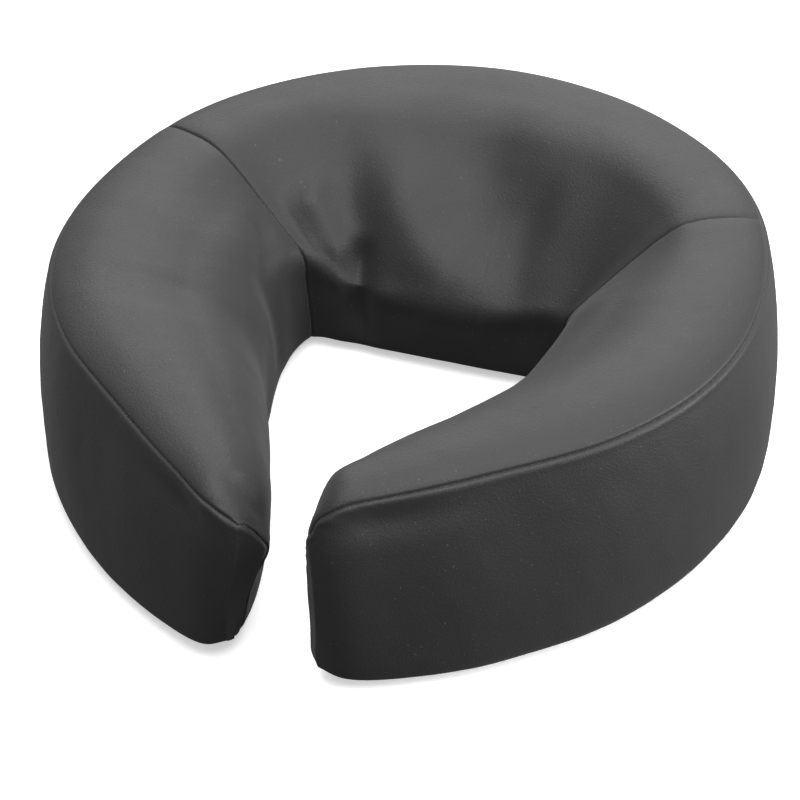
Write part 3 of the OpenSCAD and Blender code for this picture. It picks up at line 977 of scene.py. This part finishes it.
def loop_strip(name, node, length, to_row, material):
    """A strip of loop tape: rounded brushed pile below, woven edges, sewn down in a groove."""
    def spread(size):
        inner = np.arange(-size / 2 + 1.2, size / 2 - 1.1, 1.0)
        edge = np.array([0, 0.15, 0.4, 0.75])
        return np.concatenate([-size / 2 + edge, inner, size / 2 - edge[::-1]])

    u, v = np.meshgrid(spread(length), spread(STRIP_W), indexing="ij")
    edge = np.minimum(length / 2 - np.abs(u), STRIP_W / 2 - np.abs(v))
    sewn = 0.7 * np.exp(-((edge - STRIP_MARGIN) / 0.8) ** 2)
    rounding = 0.9 * (1 - smooth(edge / 1.3)) ** 2
    flat = np.stack([u, v, np.zeros_like(u)], -1)
    fuzz = 0.1 * (1 + waves(flat, 2.5, 6)) * smooth(edge / 2)
    low = np.stack([u, v, np.maximum(0, 0.05 + sewn + rounding + fuzz)], -1)
    high = np.stack([u, v, np.full_like(u, STRIP_T)], -1)
    rows, cols = u.shape
    count = rows * cols
    points = np.concatenate([low.reshape(-1, 3), high.reshape(-1, 3)])
    faces = grid_faces(rows, cols, True) + [[i + count for i in q] for q in grid_faces(rows, cols)]
    index = np.arange(count).reshape(rows, cols)
    ring = np.concatenate([index[:-1, 0], index[-1, :-1], index[:0:-1, -1], index[0, :0:-1]]).tolist()
    for a, b in zip(ring, ring[1:] + ring[:1]):
        faces.append([a, b, b + count, a + count])
    piece = mesh_piece(name, to_row(points), faces, material)
    bm = bmesh.new()
    bm.from_mesh(piece.data)
    bmesh.ops.recalc_face_normals(bm, faces=bm.faces)
    bm.to_mesh(piece.data)
    bm.free()
    return stand_in(piece, node)


def strip_ring(length, to_row):
    """The four sides of the stitching round a strip."""
    a, b = length / 2 - STRIP_MARGIN, STRIP_W / 2 - STRIP_MARGIN
    z = STRIP_SEW_Z
    corners = [(-a, -b, z), (a, -b, z), (a, b, z), (-a, b, z), (-a, -b, z)]
    return [(to_row([p, q]), (0, 0, -1)) for p, q in zip(corners, corners[1:])]


def strips_and_stitching(thread):
    pile = loop_material()
    crown_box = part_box("crown_loop_strip")
    centre = (0, (crown_box[0].y + crown_box[1].y) / 2 / MM)
    length = (crown_box[1].x - crown_box[0].x) / MM
    places = [("crown_strip", "crown_loop_strip", length, strip_frame(centre, 0))]
    for side, name in ((1, "right"), (-1, "left")):
        low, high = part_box(name + "_loop_strip")
        middle = ((low.x + high.x) / 2 / MM, (low.y + high.y) / 2 / MM)
        to_row = strip_frame(middle, math.radians(90 - side * ARM_STRIP_TURN))
        places.append((name + "_strip", name + "_loop_strip", ARM_STRIP_L, to_row))
    lines = []
    for name, node, size, to_row in places:
        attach(loop_strip(name, node, size, to_row, pile), "cushion")
        lines += strip_ring(size, to_row)
    sewn = stitches("strip_stitches", "strip_stitching", lines, thread, 3.2, 2.4, 0.3)
    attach(sewn, "cushion")


def seam_stitches(thread):
    """Stitches in the seams of the cover."""
    s = grids["s"]
    rim_up = unit(np.concatenate([outward(RIM, s), np.ones((len(s), 1))], -1))
    caps = grids["caps"]
    rim_line = band_grid[0]
    tip_up = unit(np.array([0, -1.0, 1.0]))
    lifts = np.concatenate([np.tile(tip_up, (caps, 1)), rim_up, np.tile(tip_up, (caps, 1))])
    made = [stitches("rim_stitches", "rim_seam_thread", [(rim_line, lifts)], thread)]
    normal = grid_normals(top_grid)
    for name, column in zip(("left", "right"), grids["cross"]):
        line = (top_grid[3:, column], normal[3:, column])
        made.append(stitches(name + "_cross_stitches", name + "_cross_seam_thread", [line], thread))
    down = (0, 0, -1)
    lines = [(base_grid[0], down), (base_grid[-1], down)]
    made.append(stitches("base_stitches", "base_seam_thread", lines, thread))
    lines = []
    for side in (-1, 1):
        edge = abs(outline(FOOT, side * CROSS)[0]) - 6
        ends = [[side * (ZIP_HALF + 1), ZIP_Y, COVER_Z], [side * edge, ZIP_Y, COVER_Z]]
        lines.append((ends, down))
    made.append(stitches("base_join_stitches", "base_join_thread", lines, thread))
    for piece in made:
        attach(piece, "cushion")


def metal_material():
    m = Nodes("dark_nickel")
    brushed = m.noise(1800, 2, 0.6)
    tone = m.noise(200, 4, 0.6)
    pointy = m.add("ShaderNodeNewGeometry").outputs["Pointiness"]
    wear = m.spread(pointy, 0.5, 0.6, 0.0, 1.0)
    color = m.blend_colors(tone, (0.32, 0.31, 0.3), (0.4, 0.39, 0.38))
    color = m.blend_colors(wear, color, (0.6, 0.59, 0.57))
    rough = m.spread(tone, 0.3, 0.7, 0.28, 0.42)
    return m.finish(color, rough, m.bump(brushed, 0.15, 0.00005), Metallic=1.0)


def tape_material():
    m = Nodes("zip_twill")
    weave = m.math("MULTIPLY", m.stripes(500), m.stripes(700, "X"))
    tone = m.noise(60, 4, 0.6)
    color = m.blend_colors(tone, (0.018, 0.018, 0.02), (0.03, 0.03, 0.032))
    return m.finish(color, 0.8, m.bump(weave, 0.6, 0.0002), Sheen_Weight=0.3)


def zip_tape(name, node, material):
    """A woven tape: thicker in the middle of its width and rounded at its edges."""
    low, high = (np.array(corner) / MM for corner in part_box(node))
    x = np.linspace(low[0], high[0], 171)
    share = np.array([0, 0.02, 0.06, 0.14, 0.3, 0.5, 0.7, 0.86, 0.94, 0.98, 1])
    thick = np.array([0.3, 0.7, 0.95, 1, 0.85, 0.82, 0.85, 1, 0.95, 0.7, 0.3])
    middle = (low[2] + high[2]) / 2
    half = (high[2] - low[2]) / 2 * thick
    around_y = np.concatenate([share, share[::-1]])
    around_z = np.concatenate([middle - half, (middle + half)[::-1]])
    y = mix(low[1], high[1], around_y)
    grid = np.stack(np.broadcast_arrays(x[:, None], y[None], around_z[None]), -1)
    piece = mesh_piece(name, grid.reshape(-1, 3), tube_faces(*grid.shape[:2]), material)
    return stand_in(piece, node)


COIL_WIRE = 0.22
COIL_PITCH = 1.25


def zip_coil(name, node, side, material):
    """One spiral of nylon wire, sewn along the edge of its tape."""
    low, high = (np.array(corner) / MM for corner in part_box(node))
    middle_y, middle_z = (low[1] + high[1]) / 2, (low[2] + high[2]) / 2
    radius = (high[1] - low[1]) / 2 - COIL_WIRE
    turns = int((high[0] - low[0]) / COIL_PITCH)
    angle = np.linspace(0, turns * 2 * np.pi, turns * 12 + 1)
    x = low[0] + COIL_WIRE + (high[0] - low[0] - 2 * COIL_WIRE) * angle / angle[-1]
    centre = np.stack([x, middle_y + side * radius * np.cos(angle), middle_z + radius * np.sin(angle)], -1)
    ahead = unit(np.gradient(centre, axis=0))
    out = unit(centre - np.stack([x, np.full_like(x, middle_y), np.full_like(x, middle_z)], -1))
    other = np.cross(ahead, out)
    turn = np.arange(5) * 2 * np.pi / 5
    rings = (centre[:, None] + COIL_WIRE * (np.cos(turn)[:, None] * out[:, None]
                                            + np.sin(turn)[:, None] * other[:, None]))
    piece = mesh_piece(name, rings.reshape(-1, 3), tube_faces(*rings.shape[:2]), material)
    return stand_in(piece, node)


def nylon_material():
    m = Nodes("nylon_coil")
    tone = m.noise(300, 3, 0.6)
    color = m.blend_colors(tone, (0.015, 0.015, 0.017), (0.03, 0.03, 0.033))
    return m.finish(color, m.spread(tone, 0.3, 0.7, 0.3, 0.42), m.bump(tone, 0.2, 0.0001))


def zip_parts(thread):
    tape, nylon, metal = tape_material(), nylon_material(), metal_material()
    made = [zip_tape("front_tape", "zip_tape_front", tape), zip_tape("rear_tape", "zip_tape_rear", tape)]
    made.append(zip_coil("front_coil", "zip_coil_front", 1, nylon))
    made.append(zip_coil("rear_coil", "zip_coil_rear", -1, nylon))
    lines = []
    tape_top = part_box("zip_tape_front")[1].z / MM
    for away in (-7, 7):
        for z, lift in ((COVER_Z, -1), (tape_top, 1)):
            ends = [[-ZIP_HALF, ZIP_Y + away, z], [ZIP_HALF, ZIP_Y + away, z]]
            lines.append((ends, (0, 0, lift)))
    made.append(stitches("zip_stitches", "zip_stitching", lines, thread, 3.2, 2.4, 0.28))
    for piece in made:
        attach(piece, "cushion")
    for node in ("zip_top_stops", "zip_end_stop", "zip_slider", "zip_pull"):
        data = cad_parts[node].data
        data.materials.clear()
        data.materials.append(metal)


foam = foam_material()
for node, slot, inward, fill in (
        ("foam_base", "firm_foam", 3.0, 1.0),
        ("foam_top", "soft_foam", 4.0, 0.9)):
    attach(foam_core(node, foam, inward), "cushion")
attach(base_panel("base_front", "base_front_panel", False), "cushion")
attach(base_panel("base_rear", "base_rear_panel", True), "cushion")
thread = thread_material()
seam_stitches(thread)
strips_and_stitching(thread)
zip_parts(thread)


# ------------------------------
# Floor, light and camera
WORLD_BELOW = 0.06
WORLD_ABOVE = 0.42
FLOOR_SIZE = 6.0
FLOOR_Z = -0.0004
FLOOR_GLOW = 0.5
WALL_SIDES = 64
WALL_R = 2900
WALL_LOW = -400
WALL_HIGH = 4000
LIGHT_AIM = Vector((0, 0, 0.05))


def floor_and_wall():
    """A pale floor and a round wall. They are unseen by bounced light, so the leather stays dark."""
    bpy.ops.mesh.primitive_plane_add(size=FLOOR_SIZE, location=(0, 0, FLOOR_Z))
    floor = bpy.context.object
    floor.name = "studio_floor"
    m = Nodes("floor_paper")
    shade = m.spread(m.noise(3, 2), 0.3, 0.7, 0.97, 1.0)
    color = m.blend_colors(shade, (0.86, 0.86, 0.86), (0.9, 0.9, 0.9))
    m.finish(color, 0.8, m.bump(m.noise(400), 0.02, 0.0001), Emission_Strength=FLOOR_GLOW)
    m.shader.inputs["Emission Color"].default_value = (1, 1, 1, 1)
    floor.data.materials.append(m.material)
    angle = np.arange(WALL_SIDES) * 2 * np.pi / WALL_SIDES
    ring = WALL_R * np.stack([np.cos(angle), np.sin(angle), np.zeros(WALL_SIDES)], -1)
    points = np.concatenate([ring + [0, 0, WALL_LOW], ring + [0, 0, WALL_HIGH]])
    after = [(i + 1) % WALL_SIDES for i in range(WALL_SIDES)]
    faces = [(i, j, j + WALL_SIDES, i + WALL_SIDES) for i, j in enumerate(after)]
    wall = mesh_piece("studio_wall", points, faces, m.material)
    for piece in (floor, wall):
        piece.visible_diffuse = False
        piece.visible_glossy = False
        piece.visible_shadow = False


def studio_world():
    """Soft light from all round, weaker from below."""
    world = bpy.data.worlds.new("studio")
    world.use_nodes = True
    tree = world.node_tree
    parts = tree.nodes.new("ShaderNodeSeparateXYZ")
    tree.links.new(tree.nodes.new("ShaderNodeTexCoord").outputs["Generated"], parts.inputs[0])
    level = tree.nodes.new("ShaderNodeMapRange")
    level.inputs["From Min"].default_value = -1.0
    level.inputs["To Min"].default_value = WORLD_BELOW
    level.inputs["To Max"].default_value = WORLD_ABOVE
    tree.links.new(parts.outputs["Z"], level.inputs["Value"])
    tree.links.new(level.outputs["Result"], tree.nodes["Background"].inputs["Color"])
    bpy.context.scene.world = world


def softbox(name, at, size, power):
    light = bpy.data.lights.new(name, "AREA")
    light.shape = "SQUARE"
    light.size = size
    light.energy = power
    box = link(bpy.data.objects.new(name, light))
    box.location = at
    box.rotation_euler = (LIGHT_AIM - Vector(at)).to_track_quat("-Z", "Y").to_euler()


# The camera looks at TARGET, in metres, and is turned a little about its own axis.
AZIMUTH = math.radians(19.62)
ELEVATION = math.radians(39.06)
ROLL_TURN = math.radians(-1.36)
DISTANCE = 1.104
TARGET = Vector((0.00809, -0.03226, 0.04))
LENS = 120.7


def place_camera():
    data = bpy.data.cameras.new("camera")
    data.lens = LENS
    data.sensor_width = 36
    camera = link(bpy.data.objects.new("camera", data))
    right = Vector((math.cos(AZIMUTH), math.sin(AZIMUTH), 0))
    ahead = Vector((-math.sin(AZIMUTH) * math.cos(ELEVATION), math.cos(AZIMUTH) * math.cos(ELEVATION),
                    -math.sin(ELEVATION)))
    up = right.cross(ahead)
    x = right * math.cos(ROLL_TURN) + up * math.sin(ROLL_TURN)
    y = -right * math.sin(ROLL_TURN) + up * math.cos(ROLL_TURN)
    turn = Matrix((x, y, -ahead)).transposed().to_4x4()
    camera.matrix_world = Matrix.Translation(TARGET - DISTANCE * ahead) @ turn
    bpy.context.scene.camera = camera


floor_and_wall()
studio_world()
softbox("back_box", (-0.35, 1.25, 1.15), 1.5, 20)
softbox("top_box", (0.2, -0.25, 1.5), 1.4, 26)
softbox("right_box", (1.3, 0.15, 0.5), 0.7, 21)
place_camera()
scene = bpy.context.scene
scene.view_settings.view_transform = "Standard"
